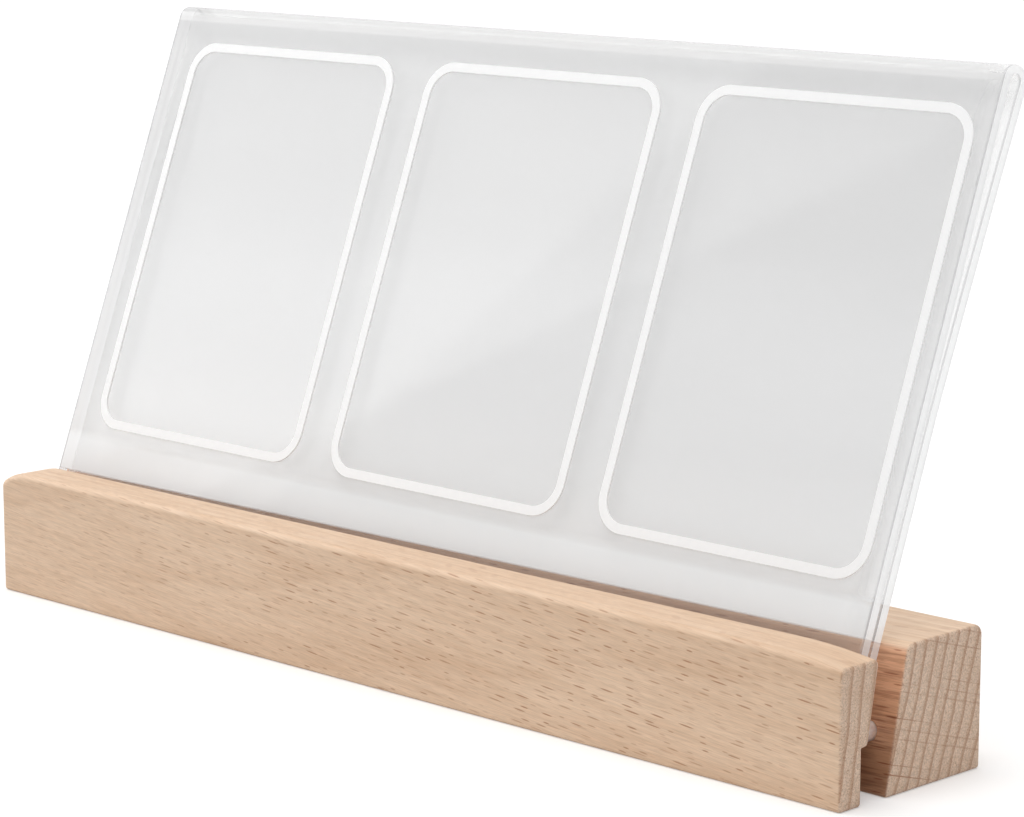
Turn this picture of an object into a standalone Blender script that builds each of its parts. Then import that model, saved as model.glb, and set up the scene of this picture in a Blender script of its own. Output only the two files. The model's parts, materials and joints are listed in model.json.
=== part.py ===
"""Instant photo frame: two beech bars, the pins between them and a clear folded sleeve with printed outlines.

The frame stands on Z = 0 with X along its length, -Y towards the viewer and Z up.
The origin is in the middle of the base's footprint. Lengths are in metres.
"""
import math

import bmesh
import bpy
from mathutils import Matrix, Vector

# The print that the sleeve is cut for, and its picture area
PRINT_WIDTH = 0.054
PRINT_HEIGHT = 0.086
PRINT_SPACING = 0.0005
PICTURE_WIDTH = 0.0462
PICTURE_HEIGHT = 0.0624
PICTURE_ABOVE_PRINT_FOOT = 0.0176

# The base
BASE_HEIGHT = 0.0195
BASE_DEPTH = 0.0288
BASE_PAST_SLEEVE = 0.0035
SLAT_TOP_THICKNESS = 0.0077
SLAT_LEAN = math.radians(10.5)
SLAT_EDGE_RADIUS = 0.0010
RABBET_HEIGHT = 0.0076
RABBET_DEPTH = 0.0012
RABBET_EDGE_RADIUS = 0.0005
SLOT_MOUTH = 0.00550
BLOCK_LEAN = math.radians(11.5)
BLOCK_EDGE_RADIUS = 0.0015
EASED_EDGE = 0.0005

# The cross pins
PIN_RADIUS = 0.0013
PIN_LENGTH = 0.0165
PIN_HEIGHT = 0.0078
PIN_FROM_END = 0.0043
PIN_COVER = 0.0016
PIN_FIT = 0.00005
PIN_CHAMFER = 0.0003

# The sleeve
SLEEVE_SPARE_WIDTH = 0.0030
SHEET_THICKNESS = 0.00145
FOLD_THICKNESS = 0.0011
SHEET_GAP = 0.0005
LOOP_GAP = 0.0022
LOOP_TAPER = 0.045
LOOP_FLARE = 1.2
SLEEVE_OFFSET = -0.0008
SEAT_GAP = 0.00015

# The printed outlines
OUTLINES_OFFSET = 0.0018
OUTLINE_NAMES = ("outline_left", "outline_middle", "outline_right")
OUTLINE_STROKE = 0.0014
OUTLINE_CORNER_RADIUS = 0.0045
INK_THICKNESS = 0.00015
INK_GAP = 0.00003

# How finely curves are divided
ARC_STEPS = 8
ROUND_SIDES = 32
LOOP_STEPS = 12

# Sizes that follow from the ones above
SLEEVE_WIDTH = len(OUTLINE_NAMES) * PRINT_WIDTH + SLEEVE_SPARE_WIDTH
BASE_LENGTH = SLEEVE_WIDTH + 2 * BASE_PAST_SLEEVE
SLEEVE_THICKNESS = 2 * SHEET_THICKNESS + SHEET_GAP
OUTLINE_PITCH = PRINT_WIDTH + PRINT_SPACING
FRONT_Y = -BASE_DEPTH / 2
REAR_Y = BASE_DEPTH / 2
PIN_HALF_SPAN = BASE_LENGTH / 2 - PIN_FROM_END
PIN_FRONT_Y = FRONT_Y + PIN_COVER


def slat_rear_y(z):
    """Depth of the slat's slanted rear face at height z."""
    return FRONT_Y + SLAT_TOP_THICKNESS - (BASE_HEIGHT - z) * math.tan(SLAT_LEAN)


def block_front_y(z):
    """Depth of the block's slanted front face at height z."""
    return FRONT_Y + SLAT_TOP_THICKNESS + SLOT_MOUTH - (BASE_HEIGHT - z) * math.tan(BLOCK_LEAN)


def sleeve_seat():
    """Lean of the sleeve and the place (y, z) of its lower front edge.

    The sleeve stands on the pins, with its lower front edge on the slat and its rear face on the
    block's rounded top edge. Its lean is the angle at which all three are met.
    """
    round_z = BASE_HEIGHT - BLOCK_EDGE_RADIUS
    round_y = block_front_y(round_z) + BLOCK_EDGE_RADIUS / math.cos(BLOCK_LEAN)
    reach = SLEEVE_THICKNESS + SEAT_GAP + BLOCK_EDGE_RADIUS
    low, high = 0.0, math.radians(60)
    for _ in range(50):
        lean = (low + high) / 2
        edge_z = PIN_HEIGHT + PIN_RADIUS + SEAT_GAP + SLEEVE_THICKNESS * math.sin(lean)
        edge_y = slat_rear_y(edge_z) + SEAT_GAP / math.cos(SLAT_LEAN)
        room = (round_y - edge_y) * math.cos(lean) - (round_z - edge_z) * math.sin(lean)
        if room > reach:
            low = lean
        else:
            high = lean
    return lean, edge_y, edge_z


def new_material(name, colour, roughness, metallic=0.0, transmission=0.0):
    """A plain Principled material."""
    material = bpy.data.materials.new(name)
    material.use_nodes = True
    shader = material.node_tree.nodes["Principled BSDF"]
    shader.inputs["Base Color"].default_value = (*colour, 1.0)
    shader.inputs["Roughness"].default_value = roughness
    shader.inputs["Metallic"].default_value = metallic
    shader.inputs["Transmission Weight"].default_value = transmission
    material.diffuse_color = (*colour, 1.0)
    return material


def new_object(name, work, material, smooth_angle=math.radians(30)):
    """An object made from the bmesh, with smooth shading on its rounded faces."""
    bmesh.ops.recalc_face_normals(work, faces=work.faces)
    mesh = bpy.data.meshes.new(name)
    work.to_mesh(mesh)
    work.free()
    mesh.shade_smooth()
    mesh.set_sharp_from_angle(angle=smooth_angle)
    mesh.materials.append(material)
    piece = bpy.data.objects.new(name, mesh)
    bpy.context.collection.objects.link(piece)
    return piece


def rounded_outline(corners):
    """Points of a closed outline, whose corners are (across, up, radius)."""
    points = []
    for i, (across, up, radius) in enumerate(corners):
        corner = Vector((across, up))
        back = (Vector(corners[i - 1][:2]) - corner).normalized()
        ahead = (Vector(corners[(i + 1) % len(corners)][:2]) - corner).normalized()
        if radius == 0:
            points.append(corner)
            continue
        half = back.angle(ahead) / 2
        centre = corner + (back + ahead).normalized() * (radius / math.sin(half))
        spoke = corner + back * (radius / math.tan(half)) - centre
        turn = math.copysign(math.pi - 2 * half, ahead.cross(back))
        for step in range(ARC_STEPS + 1):
            points.append(centre + Matrix.Rotation(turn * step / ARC_STEPS, 2) @ spoke)
    return points


def extruded_along_x(outline, length):
    """A bmesh bar with its section's points (y, z) centred on X = 0."""
    work = bmesh.new()
    ring = [work.verts.new((-length / 2, y, z)) for y, z in outline]
    end = work.faces.new(ring)
    grown = bmesh.ops.extrude_face_region(work, geom=[end])
    moved = [v for v in grown["geom"] if isinstance(v, bmesh.types.BMVert)]
    bmesh.ops.translate(work, verts=moved, vec=(length, 0, 0))
    return work


def ease_edges(piece):
    """Break the bar's sharp edges, as sanding does."""
    bevel = piece.modifiers.new("eased_edges", "BEVEL")
    bevel.width = EASED_EDGE
    bevel.segments = 2
    bevel.limit_method = "ANGLE"
    bevel.angle_limit = math.radians(50)


def cylinder_along_y(radius, length):
    """A bmesh cylinder centred on the origin."""
    work = bmesh.new()
    turned = Matrix.Rotation(math.radians(90), 4, "X")
    bmesh.ops.create_cone(
        work, cap_ends=True, segments=ROUND_SIDES, radius1=radius, radius2=radius, depth=length, matrix=turned
    )
    return work


def pin_hole(bar, cutter):
    """Bore the bar for a pin."""
    hole = bar.modifiers.new(cutter.name, "BOOLEAN")
    hole.operation = "DIFFERENCE"
    hole.solver = "EXACT"
    hole.object = cutter


def make_slat(material):
    """Front bar: its rear face leans back above a rabbet."""
    step_y = slat_rear_y(RABBET_HEIGHT)
    outline = rounded_outline([
        (FRONT_Y, 0, 0),
        (step_y - RABBET_DEPTH, 0, 0),
        (step_y - RABBET_DEPTH, RABBET_HEIGHT, 0),
        (step_y, RABBET_HEIGHT, RABBET_EDGE_RADIUS),
        (slat_rear_y(BASE_HEIGHT), BASE_HEIGHT, SLAT_EDGE_RADIUS),
        (FRONT_Y, BASE_HEIGHT, SLAT_EDGE_RADIUS),
    ])
    slat = new_object("front_slat", extruded_along_x(outline, BASE_LENGTH), material)
    ease_edges(slat)
    return slat


def make_block(material):
    """Rear bar: its front face leans back as the other wall of the slot."""
    outline = rounded_outline([
        (block_front_y(0), 0, 0),
        (REAR_Y, 0, 0),
        (REAR_Y, BASE_HEIGHT, BLOCK_EDGE_RADIUS),
        (block_front_y(BASE_HEIGHT), BASE_HEIGHT, BLOCK_EDGE_RADIUS),
    ])
    block = new_object("rear_block", extruded_along_x(outline, BASE_LENGTH), material)
    ease_edges(block)
    return block


def make_pin(name, x, bars, material):
    """Cross pin, driven into a blind hole in each bar."""
    place = (x, PIN_FRONT_Y + PIN_LENGTH / 2, PIN_HEIGHT)
    work = cylinder_along_y(PIN_RADIUS, PIN_LENGTH)
    rims = [e for e in work.edges if len({round(v.co.y, 6) for v in e.verts}) == 1]
    bmesh.ops.bevel(
        work, geom=rims, offset=PIN_CHAMFER, offset_type="OFFSET", affect="EDGES", segments=1, profile=0.5, material=-1
    )
    pin = new_object(name, work, material)
    pin.location = place

    cutter = new_object(name + "_hole", cylinder_along_y(PIN_RADIUS + PIN_FIT, PIN_LENGTH + 2 * PIN_FIT), material)
    cutter.location = place
    cutter.hide_render = True
    cutter.display_type = "WIRE"
    for bar in bars:
        pin_hole(bar, cutter)
    return pin


def sleeve_outline():
    """Section of the sleeve, as (depth behind its front face, height above its lower edges).

    The inner face runs up the front sheet, round the loop and down the rear sheet. The gap is widest in the
    loop and tapers down to the gap that a print slides in. The outer face lies one thickness outside it,
    and the sheet is thinner where it is bent.
    """
    loop_radius = LOOP_GAP / 2
    loop_height = PRINT_HEIGHT - loop_radius
    inner = [Vector((SHEET_THICKNESS, 0))]
    thickness = [SHEET_THICKNESS]
    for step in range(LOOP_STEPS + 1):
        angle = math.pi * (1 - step / LOOP_STEPS)
        inner.append(Vector((
            SHEET_THICKNESS + loop_radius * (1 + math.cos(angle)),
            loop_height + loop_radius * math.sin(angle),
        )))
        thickness.append(SHEET_THICKNESS - (SHEET_THICKNESS - FOLD_THICKNESS) * math.sin(angle) ** 2)
    for step in range(1, LOOP_STEPS + 1):
        drop = step / LOOP_STEPS
        gap = SHEET_GAP + (LOOP_GAP - SHEET_GAP) * (1 - drop) ** LOOP_FLARE
        inner.append(Vector((SHEET_THICKNESS + gap, loop_height - LOOP_TAPER * drop)))
        thickness.append(SHEET_THICKNESS)
    inner.append(Vector((SHEET_THICKNESS + SHEET_GAP, 0)))
    thickness.append(SHEET_THICKNESS)

    outer = []
    for i, point in enumerate(inner):
        before = inner[max(i - 1, 0)]
        after = inner[min(i + 1, len(inner) - 1)]
        along = (after - before).normalized()
        outer.append(point + thickness[i] * Vector((-along.y, along.x)))
    outer[0].y = 0
    outer[-1].y = 0
    return inner + outer[::-1]


def make_sleeve(seat, material):
    """Clear sheet folded back on itself at the top, open at both ends."""
    sleeve = new_object("photo_sleeve", extruded_along_x(sleeve_outline(), SLEEVE_WIDTH), material)
    sleeve.parent = seat
    return sleeve


def outline_loop(half_width, half_height, radius):
    """Closed loop of points (x, z) round a picture's centre."""
    return rounded_outline([
        (-half_width, -half_height, radius),
        (half_width, -half_height, radius),
        (half_width, half_height, radius),
        (-half_width, half_height, radius),
    ])


def make_outline(name, x, seat, material):
    """White line printed on the sleeve's front face, round one picture."""
    work = bmesh.new()
    rims = []
    for side in (0.5, -0.5):
        grown = side * OUTLINE_STROKE
        loop = outline_loop(PICTURE_WIDTH / 2 + grown, PICTURE_HEIGHT / 2 + grown, OUTLINE_CORNER_RADIUS + grown)
        ring = [work.verts.new((across, 0, up)) for across, up in loop]
        rims += [work.edges.new((ring[i - 1], ring[i])) for i in range(len(ring))]
    bmesh.ops.bridge_loops(work, edges=rims)
    grown = bmesh.ops.extrude_face_region(work, geom=work.faces[:])
    moved = [v for v in grown["geom"] if isinstance(v, bmesh.types.BMVert)]
    bmesh.ops.translate(work, verts=moved, vec=(0, -INK_THICKNESS, 0))
    outline = new_object(name, work, material)
    outline.parent = seat
    outline.location = (x, -INK_GAP, PICTURE_ABOVE_PRINT_FOOT + PICTURE_HEIGHT / 2)
    return outline


def build():
    """Make the frame."""
    for old in list(bpy.data.objects):
        bpy.data.objects.remove(old, do_unlink=True)

    slat_wood = new_material("slat_beech", (0.73, 0.50, 0.31), 0.55)
    block_wood = new_material("block_beech", (0.73, 0.50, 0.31), 0.55)
    slat = make_slat(slat_wood)
    block = make_block(block_wood)

    for side, name in ((-1, "pin_left"), (1, "pin_right")):
        steel = new_material(name + "_steel", (0.60, 0.61, 0.62), 0.25, metallic=1.0)
        make_pin(name, side * PIN_HALF_SPAN, (slat, block), steel)

    lean, edge_y, edge_z = sleeve_seat()
    seat = bpy.data.objects.new("sleeve_seat", None)
    bpy.context.collection.objects.link(seat)
    seat.location = (SLEEVE_OFFSET, edge_y, edge_z)
    seat.rotation_euler = (-lean, 0, 0)

    make_sleeve(seat, new_material("clear_sheet", (0.86, 0.88, 0.89), 0.06, transmission=0.6))
    middle = (len(OUTLINE_NAMES) - 1) / 2
    for i, name in enumerate(OUTLINE_NAMES):
        ink = new_material(name + "_ink", (0.92, 0.92, 0.92), 0.4)
        make_outline(name, OUTLINES_OFFSET + (i - middle) * OUTLINE_PITCH, seat, ink)
    bpy.context.view_layer.update()


build()
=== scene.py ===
import json
import math

import bmesh
import bpy
from mathutils import Matrix, Vector


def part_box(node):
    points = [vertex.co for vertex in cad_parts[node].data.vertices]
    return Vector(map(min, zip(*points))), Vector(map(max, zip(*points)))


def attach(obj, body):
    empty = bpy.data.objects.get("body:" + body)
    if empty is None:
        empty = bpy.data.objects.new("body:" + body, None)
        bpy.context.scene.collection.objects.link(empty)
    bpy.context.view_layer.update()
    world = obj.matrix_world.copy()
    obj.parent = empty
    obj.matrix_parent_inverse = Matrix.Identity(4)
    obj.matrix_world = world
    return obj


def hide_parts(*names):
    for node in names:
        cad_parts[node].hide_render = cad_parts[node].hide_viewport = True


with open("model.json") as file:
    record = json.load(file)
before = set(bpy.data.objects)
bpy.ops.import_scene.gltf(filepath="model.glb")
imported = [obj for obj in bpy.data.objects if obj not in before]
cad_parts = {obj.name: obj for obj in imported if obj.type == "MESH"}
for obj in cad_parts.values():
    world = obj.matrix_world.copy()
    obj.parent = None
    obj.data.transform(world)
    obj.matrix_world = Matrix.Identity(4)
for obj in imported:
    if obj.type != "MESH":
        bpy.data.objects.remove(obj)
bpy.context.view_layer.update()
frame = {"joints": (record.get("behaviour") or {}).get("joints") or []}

# Front slat. A thin bar of beech, sawn along its growth rings and planed, with its edges sanded
# and both ends of its top worn down. Its rear face leans back as the front wall of the slot, and
# a rabbet is cut along its foot. Two blind holes in it hold the cross pins.
SLAT_TOP_THICKNESS = 0.0077
SLAT_LEAN = math.radians(10.5)
SLAT_EDGE_RADIUS = 0.0010
RABBET_HEIGHT = 0.0076
RABBET_DEPTH = 0.0012
RABBET_EDGE_RADIUS = 0.0005
ROUNDING_SEGMENTS = 8
SANDED_EDGE = 0.0005
SANDED_SEGMENTS = 4
SANDED_FROM_ANGLE = math.radians(50)
SMOOTH_ANGLE = math.radians(30)
SAME_PLACE = 1e-6
WORN_LEFT = {"reach": 0.006, "drop": 0.0018}
WORN_RIGHT = {"reach": 0.013, "drop": 0.0009}
WORN_DEPTH = 0.0045
WORN_CUTS = 8
PIN_FIT = 0.00005
DRILL_SEGMENTS = 48

slat_low, slat_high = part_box("front_slat")
pin_boxes = {name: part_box(name) for name in ("pin_left", "pin_right")}


def slat_rear_y(z):
    """Depth of the slat's slanted rear face at height z."""
    return slat_low.y + SLAT_TOP_THICKNESS - (slat_high.z - z) * math.tan(SLAT_LEAN)


def drawn_along_x(section, low, high):
    """A solid from X low to X high with the section's points (depth, height)."""
    work = bmesh.new()
    ring = [work.verts.new((low, y, z)) for y, z in section]
    grown = bmesh.ops.extrude_face_region(work, geom=[work.faces.new(ring)])
    far = [v for v in grown["geom"] if isinstance(v, bmesh.types.BMVert)]
    bmesh.ops.translate(work, verts=far, vec=(high - low, 0, 0))
    bmesh.ops.recalc_face_normals(work, faces=work.faces)
    return work


def new_piece(name, work):
    """An object made from the bmesh, shaded smooth where its faces turn slowly."""
    mesh = bpy.data.meshes.new(name)
    work.to_mesh(mesh)
    work.free()
    mesh.shade_smooth()
    mesh.set_sharp_from_angle(angle=SMOOTH_ANGLE)
    piece = bpy.data.objects.new(name, mesh)
    bpy.context.collection.objects.link(piece)
    return piece


def settle(piece):
    """Apply the piece's modifiers, with clean normals on its flat faces."""
    even = piece.modifiers.new("even_normals", "WEIGHTED_NORMAL")
    even.keep_sharp = True
    evaluated = piece.evaluated_get(bpy.context.evaluated_depsgraph_get())
    settled = bpy.data.meshes.new_from_object(evaluated)
    piece.modifiers.clear()
    piece.data = settled


def planed_bar(name, section, low, high, finish=None):
    """A bar from X low to X high. Its section lists the corners' depth, height and rounding."""
    work = drawn_along_x([(y, z) for y, z, _ in section], low, high)
    for y, z, radius in section:
        corner = [
            e for e in work.edges
            if radius and all(
                abs(v.co.y - y) < SAME_PLACE and abs(v.co.z - z) < SAME_PLACE for v in e.verts
            )
        ]
        bmesh.ops.bevel(
            work, geom=corner, offset=radius, offset_type="OFFSET", affect="EDGES",
            segments=ROUNDING_SEGMENTS, profile=0.5, material=-1,
        )
    sharp = [e for e in work.edges if e.calc_face_angle() > SANDED_FROM_ANGLE]
    bmesh.ops.bevel(
        work, geom=sharp, offset=SANDED_EDGE, offset_type="OFFSET", affect="EDGES",
        segments=SANDED_SEGMENTS, profile=0.5, material=-1,
    )
    if finish:
        finish(work)
    return new_piece(name, work)


def wear_end(work, side, reach, drop):
    """Sand the slat's top down towards one end, without leaving the slanted rear face."""
    end = slat_high.x if side > 0 else slat_low.x
    for cut in range(WORN_CUTS):
        everything = work.verts[:] + work.edges[:] + work.faces[:]
        cut_x = end - side * reach * (1 - cut / WORN_CUTS)
        bmesh.ops.bisect_plane(work, geom=everything, plane_co=(cut_x, 0, 0), plane_no=(1, 0, 0))
    for vert in work.verts:
        from_end = min(abs(end - vert.co.x) / reach, 1)
        above = (vert.co.z - slat_high.z + WORN_DEPTH) / (WORN_DEPTH - SLAT_EDGE_RADIUS)
        fall = drop * (1 - from_end) ** 2 * min(max(above, 0), 1)
        back = (vert.co.y - slat_low.y) / SLAT_TOP_THICKNESS
        vert.co += Vector((0, -back * fall * math.tan(SLAT_LEAN), -fall))


def wear_slat(work):
    """Wear both ends of the slat's top."""
    wear_end(work, -1, **WORN_LEFT)
    wear_end(work, 1, **WORN_RIGHT)


def rod_along_y(low, high, segments, fit=0.0):
    """A round rod that fills the box, larger all round by the fit."""
    work = bmesh.new()
    radius = (high.z - low.z) / 2 + fit
    upright = Matrix.Rotation(math.radians(90), 4, "X")
    bmesh.ops.create_cone(
        work, cap_ends=True, segments=segments, radius1=radius, radius2=radius,
        depth=high.y - low.y + 2 * fit, matrix=Matrix.Translation((low + high) / 2) @ upright,
    )
    return work


def bore_for_pins(bar):
    """Cut the two blind pin holes."""
    drills = []
    for pin, (low, high) in pin_boxes.items():
        drill = new_piece(pin + "_drill", rod_along_y(low, high, DRILL_SEGMENTS, PIN_FIT))
        hole = bar.modifiers.new(pin, "BOOLEAN")
        hole.operation = "DIFFERENCE"
        hole.solver = "EXACT"
        hole.object = drill
        drills.append(drill)
    settle(bar)
    for drill in drills:
        bpy.data.objects.remove(drill, do_unlink=True)


def add_node(tree, kind, inputs=None, **settings):
    """Add a node. Each input is a number, a vector or the output of another node."""
    node = tree.nodes.new("ShaderNode" + kind)
    for name, value in settings.items():
        setattr(node, name, value)
    for name, value in (inputs or {}).items():
        if isinstance(value, bpy.types.NodeSocket):
            tree.links.new(value, node.inputs[name])
        else:
            node.inputs[name].default_value = value
    return node


def math_node(tree, operation, *values, clamp=False):
    """The result of a Math node."""
    inputs = dict(enumerate(values))
    return add_node(tree, "Math", inputs, operation=operation, use_clamp=clamp).outputs[0]


def product(tree, first, *others):
    """All the values multiplied, from first to last."""
    for value in others:
        first = math_node(tree, "MULTIPLY", first, value)
    return first


def plus(tree, base, mask, amount, clamp=False):
    """The base, and the amount where the mask is."""
    return math_node(tree, "MULTIPLY_ADD", mask, amount, base, clamp=clamp)


def axes_of(tree, vector):
    """The vector's X, Y and Z."""
    return list(add_node(tree, "SeparateXYZ", {0: vector}).outputs)


def spread(tree, value, low, high, to_low=0.0, to_high=1.0):
    """The value's range from low to high, spread smoothly from to_low to to_high."""
    inputs = {
        "Value": value, "From Min": low, "From Max": high, "To Min": to_low, "To Max": to_high,
    }
    node = add_node(tree, "MapRange", inputs, interpolation_type="SMOOTHSTEP")
    return node.outputs["Result"]


def mixed(tree, blend, factor, first, second):
    """Two colours mixed."""
    inputs = {0: factor, 6: first, 7: second}
    return add_node(tree, "Mix", inputs, data_type="RGBA", blend_type=blend).outputs[2]


def noise(tree, vector, scale, detail=2.0, roughness=0.5):
    """Noise on the vector scaled along each axis, from 0 to 1."""
    scaled = add_node(tree, "VectorMath", {0: vector, 1: scale}, operation="MULTIPLY").outputs[0]
    inputs = {"Vector": scaled, "Scale": 1.0, "Detail": detail, "Roughness": roughness}
    return add_node(tree, "TexNoise", inputs).outputs["Fac"]


def add_bump(tree, shader, height, strength, distance):
    """Raise the shader's surface by the height."""
    inputs = {"Height": height, "Strength": strength, "Distance": distance}
    bump = add_node(tree, "Bump", inputs)
    tree.links.new(bump.outputs["Normal"], shader.inputs["Normal"])


def new_group(name, inputs, outputs):
    """An empty node group with its sockets, and its input and output nodes."""
    group = bpy.data.node_groups.new(name, "ShaderNodeTree")
    for label, kind, value in inputs:
        socket = group.interface.new_socket(
            label, in_out="INPUT", socket_type="NodeSocket" + kind,
        )
        if value is not None:
            socket.default_value = value
    for label, kind in outputs:
        group.interface.new_socket(label, in_out="OUTPUT", socket_type="NodeSocket" + kind)
    return group, group.nodes.new("NodeGroupInput"), group.nodes.new("NodeGroupOutput")


# The grain is measured in millimetres. A name that ends in scale holds what noise is scaled by.
# Two numbers are a range that is spread from 0 to 1, and four also say what it is spread to.
RING_WANDER = 3.0
RING_WANDER_SCALE = (0.012, 0.05, 0.05)
RING_BOW = 0.0015
LATE_WOOD_YEAR = (0.2, 0.95)
RING_LINE_YEAR = (0.60, 0.95)
YEAR_END = (1.0, 0.96)
LATE_WOOD_TONE = 0.4
RING_LINE_TONE = 0.6
STREAK_SCALE = (0.03, 1.3, 1.3)
FIBRE_SCALE = (0.16, 7.0, 7.0)
CLOUD_SCALE = (0.02, 0.09, 0.09)
PORE_SCALE = (0.45, 6.5, 6.5)
SPECKLE_SCALE = (0.5, 3.8, 3.8)
PORES = (0.62, 0.76)
RAY_CELL_LENGTH = 4.8
RAY_CELL_WIDTH = 0.88
RAY_HALF_LENGTH = (0.0, 1.0, 0.13, 0.36)
RAY_HALF_WIDTH = 0.145
RAY_EDGE = (1.0, 0.2)
RAY_DEPTH = (0.1, 0.9, 0.4, 1.0)
RAY_PATCH_SCALE = (0.05, 0.16, 0.16)
RAY_PATCHES = (0.35, 0.55, 0.45, 1.0)
STREAKS = (0.3, 0.72)
STREAK_SHARE = 0.5
CLOUDS = (0.3, 0.7)
CLOUD_SHARE = 0.32
LATE_WOOD_SHARE = 0.25
LATE_WOOD_SHARE_ON_END = 0.65
FIBRE_TONE = (0.25, 0.75, 0.89, 1.06)
SPECKLE_TONE = (0.3, 0.7, -0.13, 0.11)
PORE_SHARE = 0.14
PORE_SHARE_ON_END = 0.56
RING_LINE_SHARE_ON_END = 0.50
END_GRAIN_TINT = (0.88, 0.91, 0.98, 1.0)
FIBRE_HEIGHT = 0.35
STREAK_HEIGHT = 0.25
RAY_HEIGHT = -0.5
PORE_HEIGHT = -0.4
BEECH_ROUGHNESS = (0.2, 0.8, 0.46, 0.60)


def make_beech_grain():
    """Solid beech in millimetres: X along the grain, Y out from the pith, Z along the rings."""
    group, given, put = new_group(
        "beech_grain",
        [
            ("Vector", "Vector", None), ("Ring Spacing", "Float", 2.0),
            ("Early Wood", "Color", None), ("Late Wood", "Color", None),
            ("Ray Colour", "Color", None), ("Ray Strength", "Float", 1.0),
            ("End Grain", "Float", 0.0), ("Across Rays", "Float", 1.0),
        ],
        [("Colour", "Color"), ("Roughness", "Float"), ("Height", "Float")],
    )
    vector = given.outputs["Vector"]
    end_grain = given.outputs["End Grain"]
    ray_colour = given.outputs["Ray Colour"]
    x, y, z = axes_of(group, vector)

    # Year rings. They wander and bow, darken into late wood and end in a thin line.
    wander = math_node(group, "SUBTRACT", noise(group, vector, RING_WANDER_SCALE), 0.5)
    bow = product(group, math_node(group, "POWER", z, 2.0), RING_BOW)
    depth = plus(group, math_node(group, "ADD", y, bow), wander, RING_WANDER)
    year = math_node(group, "DIVIDE", depth, given.outputs["Ring Spacing"])
    year = math_node(group, "FRACT", year)
    year_end = spread(group, year, *YEAR_END)
    line = product(group, spread(group, year, *RING_LINE_YEAR), year_end)
    late = product(group, spread(group, year, *LATE_WOOD_YEAR), year_end, LATE_WOOD_TONE)
    late = plus(group, late, line, RING_LINE_TONE)

    streaks = noise(group, vector, STREAK_SCALE, detail=3.0, roughness=0.6)
    fibres = noise(group, vector, FIBRE_SCALE, roughness=0.6)
    clouds = noise(group, vector, CLOUD_SCALE)
    pores = spread(group, noise(group, vector, PORE_SCALE, detail=0.0), *PORES)

    # Rays. Short dark flecks along the grain, one in each cell, fainter in patches.
    ray_place = add_node(group, "CombineXYZ", {
        0: math_node(group, "DIVIDE", x, RAY_CELL_LENGTH),
        1: math_node(group, "DIVIDE", z, RAY_CELL_WIDTH),
    }).outputs[0]
    cells = {"Vector": ray_place, "Scale": 1.0}
    rays = add_node(group, "TexVoronoi", cells, voronoi_dimensions="2D").outputs
    pick = add_node(group, "SeparateColor", {0: rays["Color"]}).outputs
    off = {0: ray_place, 1: rays["Position"]}
    off = add_node(group, "VectorMath", off, operation="SUBTRACT").outputs[0]
    off_along, off_across, _ = axes_of(group, off)
    off_along = math_node(group, "DIVIDE", off_along, spread(group, pick[1], *RAY_HALF_LENGTH))
    off_across = math_node(group, "DIVIDE", off_across, RAY_HALF_WIDTH)
    reach = math_node(
        group, "ADD",
        math_node(group, "POWER", off_along, 2.0), math_node(group, "POWER", off_across, 2.0),
    )
    ray = product(
        group, spread(group, reach, *RAY_EDGE), spread(group, pick[0], *RAY_DEPTH),
        spread(group, noise(group, vector, RAY_PATCH_SCALE), *RAY_PATCHES),
        given.outputs["Across Rays"],
    )
    ray = math_node(group, "MULTIPLY", ray, given.outputs["Ray Strength"], clamp=True)

    late_share = plus(group, LATE_WOOD_SHARE, end_grain, LATE_WOOD_SHARE_ON_END)
    late_share = product(group, late, late_share)
    streak_share = product(group, spread(group, streaks, *STREAKS), STREAK_SHARE)
    cloud_share = product(group, spread(group, clouds, *CLOUDS), CLOUD_SHARE)
    shade = math_node(group, "ADD", late_share, streak_share)
    shade = math_node(group, "ADD", shade, cloud_share)
    colour = mixed(
        group, "MIX", shade, given.outputs["Early Wood"], given.outputs["Late Wood"],
    )

    fibre_tone = spread(group, fibres, *FIBRE_TONE)
    speckle = noise(group, vector, SPECKLE_SCALE, detail=1.0)
    speckle = spread(group, speckle, *SPECKLE_TONE)
    fibre_tone = plus(group, fibre_tone, speckle, end_grain)
    fibre_tone = {0: fibre_tone, 1: fibre_tone, 2: fibre_tone}
    fibre_tone = add_node(group, "CombineColor", fibre_tone).outputs[0]
    colour = mixed(group, "MULTIPLY", 1.0, colour, fibre_tone)

    pore_share = plus(group, PORE_SHARE, end_grain, PORE_SHARE_ON_END)
    pore_share = product(group, pores, pore_share)
    line_share = product(group, line, end_grain, RING_LINE_SHARE_ON_END)
    dark_share = math_node(group, "ADD", pore_share, line_share, clamp=True)
    colour = mixed(group, "MIX", dark_share, colour, ray_colour)
    colour = mixed(group, "MIX", ray, colour, ray_colour)
    colour = mixed(group, "MULTIPLY", end_grain, colour, END_GRAIN_TINT)

    height = plus(group, product(group, streaks, STREAK_HEIGHT), fibres, FIBRE_HEIGHT)
    height = plus(group, height, ray, RAY_HEIGHT)
    height = plus(group, height, pores, PORE_HEIGHT)
    group.links.new(colour, put.inputs["Colour"])
    group.links.new(spread(group, streaks, *BEECH_ROUGHNESS), put.inputs["Roughness"])
    group.links.new(height, put.inputs["Height"])
    return group


beech_grain = make_beech_grain()

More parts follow.
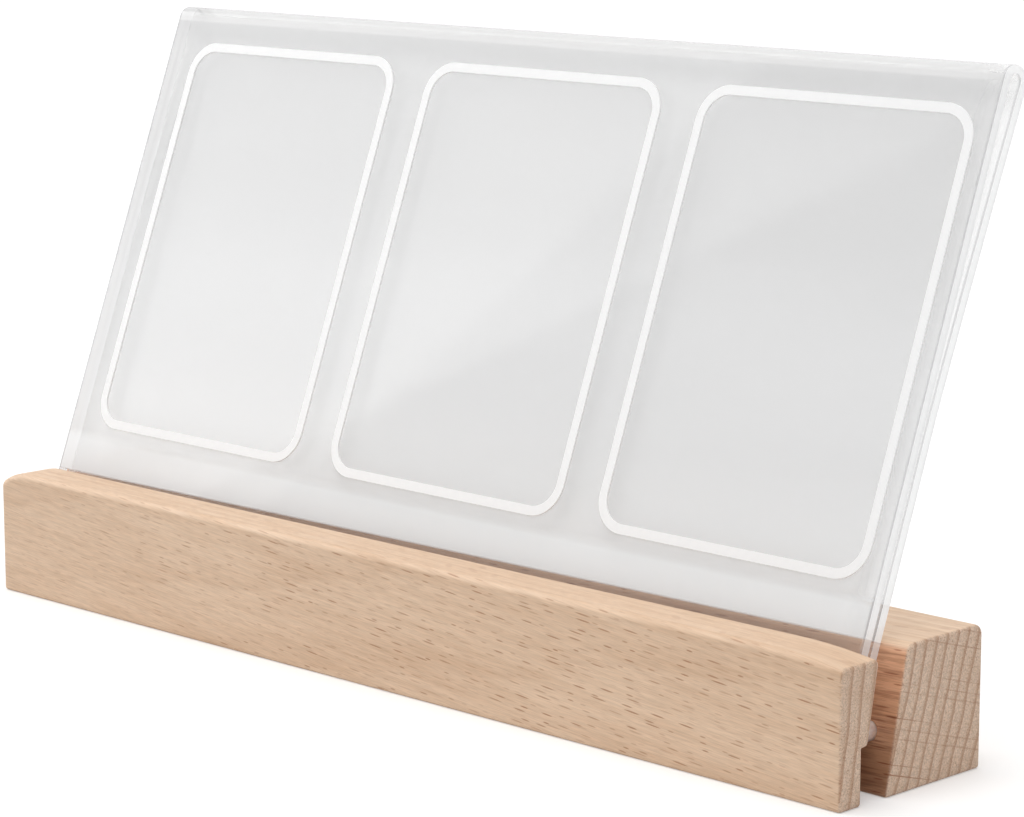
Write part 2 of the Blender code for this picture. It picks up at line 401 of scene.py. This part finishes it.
# Each bar's own finish. FEWER_RAYS_UNTIL is counted in half lengths of the bar, from its middle.
MM_PER_METRE = 1000
EARLY_WOOD = (0.85, 0.625, 0.445, 1)
LATE_WOOD = (0.70, 0.47, 0.305, 1)
RAY_COLOUR = (0.43, 0.205, 0.105, 1)
END_GRAIN_RIM = (0.00045, 0.0001)
RAYS_BY_FACING = (0.85, 0.55, 0.25, 1.0)
FEWER_RAYS_UNTIL = 0.1
FEWER_RAYS = 0.35
# The slot wall's painted shade, darkest at its foot, and painted light near the top of its mouth.
WALL_FACING = (0.55, 0.95)
SLOT_SHADE_RISE = (0.002, 0.017)
SLOT_FOOT_PAINTED_SHADE = (0.58, 0.43, 0.35, 1)
SLOT_TOP_PAINTED_SHADE = (1.0, 0.77, 0.65, 1)
SAW_MARK_SCALE = (0.02, 2.2, 2.2)
SAW_MARKS = (0.45, 0.65)
SAW_MARK_AND_SHADE_TINT = (0.66, 0.58, 0.54, 1)
MOUTH_LIGHT_RISE = (0.0135, 0.0165)
MOUTH_LIGHT_FROM_END = (0.004, 0.009)
MARKS_LOST_IN_MOUTH_LIGHT = -0.75
MOUTH_PAINTED_LIGHT = (1.0, 0.80, 0.70, 1)
BEECH_BUMP = {"strength": 0.35, "distance": 0.00012}


def new_material(name):
    """A material's node tree and its Principled shader."""
    material = bpy.data.materials.new(name)
    material.use_nodes = True
    return material, material.node_tree, material.node_tree.nodes["Principled BSDF"]


def beech(name, turn, offset, half_length, slot_side, ring_spacing, ray_strength, end_rays):
    """Sanded bare beech, cut from the log at a turn in degrees and an offset in millimetres.

    The slot wall, on the slot side along Y, has painted shade: darker and redder towards its foot,
    and darker in streaks with the saw marks. Near the top of its mouth, short of the bar's ends,
    it has painted light and fewer saw marks.
    """
    material, tree, shader = new_material(name)
    coordinates = add_node(tree, "TexCoord").outputs
    place, normal = coordinates["Object"], coordinates["Normal"]
    x, _, z = axes_of(tree, place)
    turn = [math.radians(angle) for angle in turn]
    scale = (MM_PER_METRE, MM_PER_METRE, MM_PER_METRE)
    cut_from_log = {"Vector": place, "Location": offset, "Rotation": turn, "Scale": scale}
    vector = add_node(tree, "Mapping", cut_from_log, vector_type="POINT").outputs[0]

    along = math_node(tree, "ABSOLUTE", x)
    rim, full = END_GRAIN_RIM
    end_grain = spread(tree, along, half_length - rim, half_length - full)
    turned = {"Vector": normal, "Rotation": turn}
    turned = add_node(tree, "Mapping", turned, vector_type="NORMAL").outputs[0]
    facing = math_node(tree, "ABSOLUTE", axes_of(tree, turned)[2])
    faded = spread(tree, x, -half_length, FEWER_RAYS_UNTIL * half_length, FEWER_RAYS, 1.0)
    across = product(
        tree, spread(tree, facing, *RAYS_BY_FACING), faded,
        spread(tree, end_grain, 0.0, 1.0, 1.0, end_rays),
    )
    grain = add_node(tree, "Group", {
        "Vector": vector, "Ring Spacing": ring_spacing, "Early Wood": EARLY_WOOD,
        "Late Wood": LATE_WOOD, "Ray Colour": RAY_COLOUR, "Ray Strength": ray_strength,
        "End Grain": end_grain, "Across Rays": across,
    }, node_tree=beech_grain).outputs

    # Painted shade on the slot wall, darkest at its foot, and painted light near its mouth's top.
    wall = product(tree, axes_of(tree, normal)[1], slot_side)
    wall = spread(tree, wall, *WALL_FACING)
    slot_shade = mixed(tree, "MIX", spread(tree, z, *SLOT_SHADE_RISE), SLOT_FOOT_PAINTED_SHADE, SLOT_TOP_PAINTED_SHADE)
    outer, inner = MOUTH_LIGHT_FROM_END
    mouth_light = product(
        tree, spread(tree, z, *MOUTH_LIGHT_RISE),
        spread(tree, along, half_length - outer, half_length - inner),
    )
    saw_marks = noise(tree, vector, SAW_MARK_SCALE, detail=3.0, roughness=0.65)
    saw_marks = spread(tree, saw_marks, *SAW_MARKS)
    saw_marks = product(tree, saw_marks, plus(tree, 1.0, mouth_light, MARKS_LOST_IN_MOUTH_LIGHT))
    slot_shade = mixed(tree, "MULTIPLY", saw_marks, slot_shade, SAW_MARK_AND_SHADE_TINT)
    slot_shade = mixed(tree, "MIX", mouth_light, slot_shade, MOUTH_PAINTED_LIGHT)
    colour = mixed(tree, "MULTIPLY", wall, grain["Colour"], slot_shade)
    tree.links.new(colour, shader.inputs["Base Color"])
    tree.links.new(grain["Roughness"], shader.inputs["Roughness"])
    add_bump(tree, shader, grain["Height"], **BEECH_BUMP)
    return material


front = slat_low.y
rabbet_top_y = slat_rear_y(RABBET_HEIGHT)
slat = planed_bar(
    "slat",
    [
        (front, 0, 0),
        (rabbet_top_y - RABBET_DEPTH, 0, 0),
        (rabbet_top_y - RABBET_DEPTH, RABBET_HEIGHT, 0),
        (rabbet_top_y, RABBET_HEIGHT, RABBET_EDGE_RADIUS),
        (slat_rear_y(slat_high.z), slat_high.z, SLAT_EDGE_RADIUS),
        (front, slat_high.z, SLAT_EDGE_RADIUS),
    ],
    slat_low.x, slat_high.x, finish=wear_slat,
)
bore_for_pins(slat)
slat.data.materials.append(beech(
    "slat_beech", turn=(11, -5, 1.2), offset=(31, 12.4, 7), half_length=slat_high.x,
    slot_side=1, ring_spacing=2.1, ray_strength=0.88, end_rays=0.3,
))
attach(slat, "base")
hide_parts("front_slat")

# Rear block. The heavier bar of beech behind the slot, cut with its growth rings standing on edge.
# Its front face leans back further than the slat's, so the slot is wider at its mouth.
# The sleeve leans on its rounded top front edge.
SLOT_MOUTH = 0.0055
BLOCK_LEAN = math.radians(11.5)
BLOCK_EDGE_RADIUS = 0.0015

block_low, block_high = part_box("rear_block")


def block_front_y(z):
    """Depth of the block's slanted front face at height z."""
    mouth_y = slat_low.y + SLAT_TOP_THICKNESS + SLOT_MOUTH
    return mouth_y - (block_high.z - z) * math.tan(BLOCK_LEAN)


block = planed_bar(
    "block",
    [
        (block_front_y(0), 0, 0),
        (block_high.y, 0, 0),
        (block_high.y, block_high.z, BLOCK_EDGE_RADIUS),
        (block_front_y(block_high.z), block_high.z, BLOCK_EDGE_RADIUS),
    ],
    block_low.x, block_high.x,
)
bore_for_pins(block)
block.data.materials.append(beech(
    "block_beech", turn=(16, 2, -2), offset=(-57, 40, -23), half_length=block_high.x,
    slot_side=-1, ring_spacing=2.15, ray_strength=1.0, end_rays=1.0,
))
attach(block, "base")
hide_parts("rear_block")

# Cross pins. Two drawn steel pins, driven into both bars under the sleeve's ends.
# They hold the slot's width, and the sleeve stands on them.
PIN_SEGMENTS = 64
PIN_CHAMFER = 0.0003
PIN_CHAMFER_SEGMENTS = 3
SCRATCH_SCALE = (9000, 300, 9000)
STAIN_SCALE = (700, 500, 700)
STAINS = (0.3, 0.7)
BRIGHT_STEEL = (0.95, 0.95, 0.95, 1)
STAINED_STEEL = (0.86, 0.86, 0.85, 1)
STEEL_ROUGHNESS = (0.2, 0.8, 0.4, 0.55)
STEEL_BUMP = {"strength": 0.2, "distance": 0.00002}


def drawn_steel():
    """Drawn steel wire: fine scratches along the pin, and a slightly uneven grey."""
    material, tree, shader = new_material("drawn_steel")
    place = add_node(tree, "TexCoord").outputs["Object"]
    scratches = noise(tree, place, SCRATCH_SCALE)
    stains = spread(tree, noise(tree, place, STAIN_SCALE, detail=3.0), *STAINS)
    tone = mixed(tree, "MIX", stains, BRIGHT_STEEL, STAINED_STEEL)
    tree.links.new(tone, shader.inputs["Base Color"])
    tree.links.new(spread(tree, scratches, *STEEL_ROUGHNESS), shader.inputs["Roughness"])
    add_bump(tree, shader, scratches, **STEEL_BUMP)
    shader.inputs["Metallic"].default_value = 1.0
    return material


steel = drawn_steel()
for name, (low, high) in pin_boxes.items():
    work = rod_along_y(low, high, PIN_SEGMENTS)
    rims = [e for e in work.edges if abs(e.verts[0].co.y - e.verts[1].co.y) < SAME_PLACE]
    bmesh.ops.bevel(
        work, geom=rims, offset=PIN_CHAMFER, offset_type="OFFSET", affect="EDGES",
        segments=PIN_CHAMFER_SEGMENTS, profile=0.5, material=-1,
    )
    pin = new_piece(name.replace("pin_", "cross_pin_"), work)
    pin.data.materials.append(steel)
    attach(pin, "base")
    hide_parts(name)

# Photo sleeve. One clear plastic sheet, folded back on itself at the top with a small loop left in
# the fold. Its cut edges are polished and its two ends are open. It is loose: it stands on the pins
# and leans on the block.
SHEET_THICKNESS = 0.00145
FOLD_THICKNESS = 0.0011
SHEET_GAP = 0.0005
LOOP_GAP = 0.0022
LOOP_TAPER = 0.045
LOOP_FLARE = 1.2
FOLD_STEPS = 40
SHEET_HEIGHT = 0.0859
CUT_EDGE = 0.00012
CUT_EDGE_SEGMENTS = 2
CUT_FROM_ANGLE = math.radians(60)

lift = Vector(frame["joints"][0]["axis"])
lean = math.atan2(lift.y, lift.z)
sleeve_low, sleeve_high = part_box("photo_sleeve")
foot = Vector((
    (sleeve_low.x + sleeve_high.x) / 2,
    sleeve_low.y,
    sleeve_low.z + (2 * SHEET_THICKNESS + SHEET_GAP) * math.sin(lean),
))
seat = Matrix.Translation(foot) @ Matrix.Rotation(-lean, 4, "X")
half_width = (sleeve_high.x - sleeve_low.x) / 2


def fold_section():
    """Section of the folded sheet as (depth, height): its inner face, then its outer face.

    The gap is widest in the loop and tapers down, and the sheet is thinner where it is bent.
    """
    radius = LOOP_GAP / 2
    centre = SHEET_HEIGHT - radius
    inner = [Vector((SHEET_THICKNESS, 0))]
    thickness = [SHEET_THICKNESS]
    for i in range(FOLD_STEPS + 1):
        angle = math.pi * (1 - i / FOLD_STEPS)
        depth = SHEET_THICKNESS + radius * (1 + math.cos(angle))
        inner.append(Vector((depth, centre + radius * math.sin(angle))))
        thinned = (SHEET_THICKNESS - FOLD_THICKNESS) * math.sin(angle) ** 2
        thickness.append(SHEET_THICKNESS - thinned)
    for i in range(1, FOLD_STEPS + 1):
        gap = SHEET_GAP + (LOOP_GAP - SHEET_GAP) * (1 - i / FOLD_STEPS) ** LOOP_FLARE
        inner.append(Vector((SHEET_THICKNESS + gap, centre - LOOP_TAPER * i / FOLD_STEPS)))
        thickness.append(SHEET_THICKNESS)
    inner.append(Vector((SHEET_THICKNESS + SHEET_GAP, 0)))
    thickness.append(SHEET_THICKNESS)
    outer = []
    for i, point in enumerate(inner):
        along = (inner[min(i + 1, len(inner) - 1)] - inner[max(i - 1, 0)]).normalized()
        outer.append(point + thickness[i] * Vector((-along.y, along.x)))
    outer[0].y = 0
    outer[-1].y = 0
    return inner + outer[::-1]


def folded_sheet():
    """The folded sheet, from end to end, with its cut edges broken."""
    work = drawn_along_x(fold_section(), -half_width, half_width)
    cut = [e for e in work.edges if e.calc_face_angle(0) > CUT_FROM_ANGLE]
    bmesh.ops.bevel(
        work, geom=cut, offset=CUT_EDGE, offset_type="OFFSET", affect="EDGES",
        segments=CUT_EDGE_SEGMENTS, profile=0.5, material=-1,
    )
    bmesh.ops.transform(work, matrix=seat, verts=work.verts)
    return new_piece("sleeve", work)


# The plastic's zones: heights above the foot along the lean, and distances from an end, in metres.
CLEAR_FOOT = 0.00975
CLEAR_TILT = 0.0068
CLEAR_BLUR = 0.0001
CUT_FACING = (0.5, 0.95)
END_RIM = (0.00050, 0.00025)
FOOT_RIM = (0.0005, 0.0002)
TURNED_AWAY = (0.72, 0.96)
LOW_BAND = (0.0161, 0.0142)
LOW_BAND_ALONG = (-0.075, -0.015, 0.55, 1.0)
LEFT_STRIP = (0.0034, 0.0030)
RIGHT_STRIP = (0.0045, 0.0015)
BEND_FROM = (0.0839, 0.0844)
BEND_TO = (0.0856, 0.0850)
UNDER_BEND_FROM = (0.0795, 0.0836)
UNDER_BEND_TO = (0.0844, 0.0839)
UNDER_BEND_SHADE = 0.3
LOWER_FACE = (0.064, 0.044)
LOWEST_FACE = (0.034, 0.020)
HAZE_SCALE = (14, 30, 30)

# How much of the plastic's own tone covers what is behind it, and the tones.
CLEAR_MILK = 0.08
FACE_MILK = 0.33
LOW_BAND_MILK = 0.31
LEFT_STRIP_MILK = 0.28
RIGHT_STRIP_MILK = -0.20
BEND_HIGHLIGHT_MILK = 0.12
HAZE_MILK = (0.2, 0.8, 0.97, 1.03)
PAINTED_SHADE_MILK = 0.30
CUT_MILK = 0.45
MILK_IN_SHADOWS = 0.2
FACE_TONE = (0.765, 0.765, 0.767, 1)
HAZY_FACE_TONE = (0.745, 0.745, 0.747, 1)
# Painted light: the face is lighter towards its foot.
LOWER_FACE_PAINTED_LIGHT = (0.80, 0.801, 0.805, 1)
LOWEST_FACE_PAINTED_LIGHT = (0.835, 0.836, 0.84, 1)
# Painted light: a warm glow of the beech on the clear foot.
CLEAR_PAINTED_BEECH_LIGHT = (0.97, 0.83, 0.74, 1)
# Painted light: the bright low band.
LOW_BAND_PAINTED_LIGHT = (0.94, 0.97, 0.99, 1)
# Painted highlight along the bend.
BEND_HIGHLIGHT_TONE = (0.83, 0.83, 0.83, 1)
# Painted shade: the dark lines by the cut ends, along the foot, where the fold turns away and under
# the bend.
PAINTED_SHADE_TONE = (0.52, 0.52, 0.53, 1)
# Painted light: the cut ends' bright tone and glow.
CUT_PAINTED_LIGHT = (0.93, 0.935, 0.94, 1)
CUT_PAINTED_GLOW = 0.15
WHITE = (1, 1, 1, 1)
PLASTIC_ROUGHNESS = (0.2, 0.8, 0.032, 0.046)
PLASTIC_IOR = 1.49


def clear_plastic():
    """Slightly milky clear plastic, clearer in the slot, with painted light on its cut ends."""
    material, tree, shader = new_material("clear_plastic")
    coordinates = add_node(tree, "TexCoord").outputs
    place = coordinates["Object"]
    along = math_node(tree, "SUBTRACT", axes_of(tree, place)[0], foot.x)
    out = math_node(tree, "ABSOLUTE", along)
    rise = {0: place, 1: lift}
    rise = add_node(tree, "VectorMath", rise, operation="DOT_PRODUCT").outputs["Value"]
    rise = math_node(tree, "SUBTRACT", rise, foot.dot(lift))

    # Cut ends, and painted shade lines beside them, along the foot and where the fold turns away.
    sideways = math_node(tree, "ABSOLUTE", axes_of(tree, coordinates["Normal"])[0])
    cut = spread(tree, sideways, *CUT_FACING)
    face = math_node(tree, "SUBTRACT", 1.0, cut)
    inner, outer = END_RIM
    rim = product(tree, spread(tree, out, half_width - inner, half_width - outer), face)
    rim = math_node(tree, "MAXIMUM", rim, spread(tree, rise, *FOOT_RIM))
    facing = add_node(tree, "LayerWeight", {"Blend": 0.5}).outputs["Facing"]
    turned = product(tree, spread(tree, facing, *TURNED_AWAY), face)
    painted_shade = math_node(tree, "MAXIMUM", rim, turned)

    # The milky face above the clear foot, with its painted light low band, end strips and bend.
    level = plus(tree, rise, along, -CLEAR_TILT)
    above = spread(tree, level, CLEAR_FOOT - CLEAR_BLUR, CLEAR_FOOT + CLEAR_BLUR)
    low = product(
        tree, above, spread(tree, rise, *LOW_BAND), spread(tree, along, *LOW_BAND_ALONG),
    )
    inner, outer = LEFT_STRIP
    left = product(tree, spread(tree, along, inner - half_width, outer - half_width), above)
    inner, outer = RIGHT_STRIP
    right = product(tree, spread(tree, along, half_width - inner, half_width - outer), above)
    # Painted highlight along the bend, and painted shade under it.
    bend_highlight = product(tree, spread(tree, rise, *BEND_FROM), spread(tree, rise, *BEND_TO))
    under_bend = product(
        tree, spread(tree, rise, *UNDER_BEND_FROM), spread(tree, rise, *UNDER_BEND_TO),
    )
    painted_shade = plus(tree, painted_shade, under_bend, UNDER_BEND_SHADE, clamp=True)
    haze = noise(tree, place, HAZE_SCALE, detail=3.0)

    milk = plus(tree, CLEAR_MILK, above, FACE_MILK)
    milk = plus(tree, milk, low, LOW_BAND_MILK)
    milk = plus(tree, milk, left, LEFT_STRIP_MILK)
    milk = plus(tree, milk, right, RIGHT_STRIP_MILK)
    milk = plus(tree, milk, bend_highlight, BEND_HIGHLIGHT_MILK)
    milk = product(tree, milk, spread(tree, haze, *HAZE_MILK))
    milk = plus(tree, milk, painted_shade, PAINTED_SHADE_MILK)
    milk = plus(tree, milk, cut, CUT_MILK, clamp=True)
    ray = add_node(tree, "LightPath").outputs
    passing = math_node(tree, "ADD", ray["Is Shadow Ray"], ray["Is Diffuse Ray"], clamp=True)
    milk = product(tree, milk, spread(tree, passing, 0.0, 1.0, 1.0, MILK_IN_SHADOWS))
    tree.links.new(milk, shader.inputs["Alpha"])

    # Painted light on the lower face, clear foot, low band, bend and cut ends; painted shade lines.
    tone = mixed(tree, "MIX", haze, FACE_TONE, HAZY_FACE_TONE)
    tone = mixed(tree, "MIX", spread(tree, rise, *LOWER_FACE), tone, LOWER_FACE_PAINTED_LIGHT)
    tone = mixed(tree, "MIX", spread(tree, rise, *LOWEST_FACE), tone, LOWEST_FACE_PAINTED_LIGHT)
    tone = mixed(tree, "MIX", above, CLEAR_PAINTED_BEECH_LIGHT, tone)
    tone = mixed(tree, "MIX", low, tone, LOW_BAND_PAINTED_LIGHT)
    tone = mixed(tree, "MIX", bend_highlight, tone, BEND_HIGHLIGHT_TONE)
    tone = mixed(tree, "MIX", painted_shade, tone, PAINTED_SHADE_TONE)
    tone = mixed(tree, "MIX", cut, tone, CUT_PAINTED_LIGHT)
    tree.links.new(tone, shader.inputs["Base Color"])
    # The cut ends' painted glow.
    tree.links.new(product(tree, cut, CUT_PAINTED_GLOW), shader.inputs["Emission Strength"])
    shader.inputs["Emission Color"].default_value = WHITE
    tree.links.new(spread(tree, haze, *PLASTIC_ROUGHNESS), shader.inputs["Roughness"])
    shader.inputs["IOR"].default_value = PLASTIC_IOR
    return material


sleeve = folded_sheet()
settle(sleeve)
sleeve.data.materials.append(clear_plastic())
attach(sleeve, "sleeve")
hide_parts("photo_sleeve")

# Printed outlines. White ink, screen-printed on the sleeve's front face before the sheet is folded.
# Each line frames the picture area of one instant print.
OUTLINE_STROKE = 0.0014
OUTLINE_CORNER_RADIUS = 0.0045
OUTLINE_CORNER_SEGMENTS = 24
INK_GAP = 0.00003
INK_THICKNESS = 0.00015
THICK_INK = (0.955, 0.955, 0.955, 1)
THIN_INK = (0.925, 0.925, 0.925, 1)
INK_GRAIN_SCALE = (2500, 2500, 2500)
INK_ROUGHNESS = (0.2, 0.8, 0.35, 0.5)
INK_BUMP = {"strength": 0.1, "distance": 0.00003}


def printed_line(name, low, high):
    """A closed line of ink round a picture, from its CAD box."""
    centre_x = (low.x + high.x) / 2
    half_across = (high.x - low.x) / 2
    ink = INK_THICKNESS * math.sin(lean)
    half_up = ((high.z - low.z - ink) / math.cos(lean)) / 2
    middle_z = (low.z + high.z - ink) / 2 - foot.z + INK_GAP * math.sin(-lean)
    middle_z /= math.cos(lean)
    outer_radius = OUTLINE_CORNER_RADIUS + OUTLINE_STROKE / 2
    work = bmesh.new()
    for inset in (0, OUTLINE_STROKE):
        made = bmesh.ops.create_grid(work, x_segments=1, y_segments=1, size=1.0)
        size = (half_across - inset, half_up - inset, 1)
        upright = Matrix.Rotation(math.radians(90), 3, "X")
        bmesh.ops.scale(work, verts=made["verts"], vec=size)
        bmesh.ops.rotate(work, verts=made["verts"], matrix=upright)
        bmesh.ops.bevel(
            work, geom=made["verts"], offset=outer_radius - inset, affect="VERTICES",
            segments=OUTLINE_CORNER_SEGMENTS, profile=0.5, material=-1,
        )
    rims = [e for e in work.edges if e.is_boundary]
    bmesh.ops.delete(work, geom=work.faces[:], context="FACES_ONLY")
    bmesh.ops.bridge_loops(work, edges=rims)
    grown = bmesh.ops.extrude_face_region(work, geom=work.faces[:])
    raised = [v for v in grown["geom"] if isinstance(v, bmesh.types.BMVert)]
    bmesh.ops.translate(work, verts=raised, vec=(0, -INK_THICKNESS, 0))
    bmesh.ops.recalc_face_normals(work, faces=work.faces)
    bmesh.ops.translate(work, verts=work.verts, vec=(centre_x - foot.x, -INK_GAP, middle_z))
    bmesh.ops.transform(work, matrix=seat, verts=work.verts)
    return new_piece(name, work)


def white_ink():
    """White screen ink: nearly even, with the faint grain of the mesh it was printed through."""
    material, tree, shader = new_material("white_ink")
    place = add_node(tree, "TexCoord").outputs["Object"]
    grain = noise(tree, place, INK_GRAIN_SCALE)
    tone = mixed(tree, "MIX", grain, THICK_INK, THIN_INK)
    tree.links.new(tone, shader.inputs["Base Color"])
    tree.links.new(spread(tree, grain, *INK_ROUGHNESS), shader.inputs["Roughness"])
    add_bump(tree, shader, grain, **INK_BUMP)
    return material


ink = white_ink()
for name in ("outline_left", "outline_middle", "outline_right"):
    line = printed_line(name.replace("outline", "printed_line"), *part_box(name))
    line.data.materials.append(ink)
    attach(line, "sleeve")
    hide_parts(name)

# Studio. A white table under soft light from above, and lamps that only show in reflections, with
# which the sleeve's face gets its bright areas. The camera stands where the photograph was taken.
TABLE_SIZE = 4.0
TABLE_WHITE = (0.80, 0.80, 0.80, 1)
TABLE_ROUGHNESS = 0.9
TABLE_GLOW_SEEN = 0.25
SURROUND_ON_OBJECT = 0.6
SURROUND_SEEN = 1.0
STRIP_WIDTHS = (0.026, 0.044, 0.062)
STRIP_STRENGTH_PER_METRE = 0.5


def seen_directly(tree):
    """1 for rays from the camera, a mirror or clear plastic, and 0 for light on the object."""
    ray = add_node(tree, "LightPath").outputs
    seen = math_node(tree, "ADD", ray["Is Glossy Ray"], ray["Is Transmission Ray"])
    return math_node(tree, "ADD", ray["Is Camera Ray"], seen, clamp=True)


bpy.context.scene.view_settings.view_transform = "Standard"

work = bmesh.new()
bmesh.ops.create_grid(work, x_segments=1, y_segments=1, size=TABLE_SIZE / 2)
table = new_piece("table", work)
material, tree, shader = new_material("table_white")
shader.inputs["Base Color"].default_value = TABLE_WHITE
shader.inputs["Roughness"].default_value = TABLE_ROUGHNESS
glow = product(tree, seen_directly(tree), TABLE_GLOW_SEEN)
tree.links.new(glow, shader.inputs["Emission Strength"])
shader.inputs["Emission Color"].default_value = WHITE
table.data.materials.append(material)

world = bpy.data.worlds.new("studio")
bpy.context.scene.world = world
world.use_nodes = True
tree = world.node_tree
background = tree.nodes["Background"]
background.inputs["Color"].default_value = WHITE
strength = spread(tree, seen_directly(tree), 0.0, 1.0, SURROUND_ON_OBJECT, SURROUND_SEEN)
tree.links.new(strength, background.inputs["Strength"])


def soft_sun(name, strength, angle, towards):
    """A broad, distant light."""
    light = bpy.data.lights.new(name, "SUN")
    light.energy = strength
    light.angle = math.radians(angle)
    lamp = bpy.data.objects.new(name, light)
    bpy.context.collection.objects.link(lamp)
    lamp.rotation_euler = Vector(towards).to_track_quat("-Z", "Y").to_euler()


soft_sun("overhead", strength=1.38, angle=40, towards=(0.1, 0.12, -1))


def mirrored_lamp(name, strength, width, height, location, turn):
    """A soft lamp that only shows in reflections."""
    light = bpy.data.lights.new(name, "AREA")
    light.shape = "RECTANGLE"
    light.size = width
    light.size_y = height
    light.energy = strength
    lamp = bpy.data.objects.new(name, light)
    bpy.context.collection.objects.link(lamp)
    lamp.location = location
    lamp.rotation_euler = [math.radians(angle) for angle in turn]
    lamp.visible_diffuse = False


mirrored_lamp(
    "mirrored_near", strength=1.42, width=0.46, height=0.76,
    location=(-0.5531, -0.1960, 0.3396), turn=(69.02, 16.28, -57.23),
)
mirrored_lamp(
    "mirrored_far", strength=1.9, width=0.52, height=0.76,
    location=(-0.4637, -0.2207, 0.4873), turn=(66.33, 31.12, -63.87),
)
# Three strips on one spot make a lamp with soft edges.
for width in STRIP_WIDTHS:
    mirrored_lamp(
        "mirrored_strip", strength=STRIP_STRENGTH_PER_METRE * width, width=width, height=0.42,
        location=(-0.4262, -0.3969, 0.2646), turn=(54.43, 53.78, -81.08),
    )

camera = bpy.data.objects.new("camera", bpy.data.cameras.new("camera"))
bpy.context.collection.objects.link(camera)
camera.location = (0.344271, -0.333215, 0.126481)
camera.rotation_euler = [math.radians(angle) for angle in (90 - 10.3945, 0, 44.7405)]
camera.data.sensor_width = 36
camera.data.lens = 119.356
camera.data.clip_start = 0.01
bpy.context.scene.camera = camera
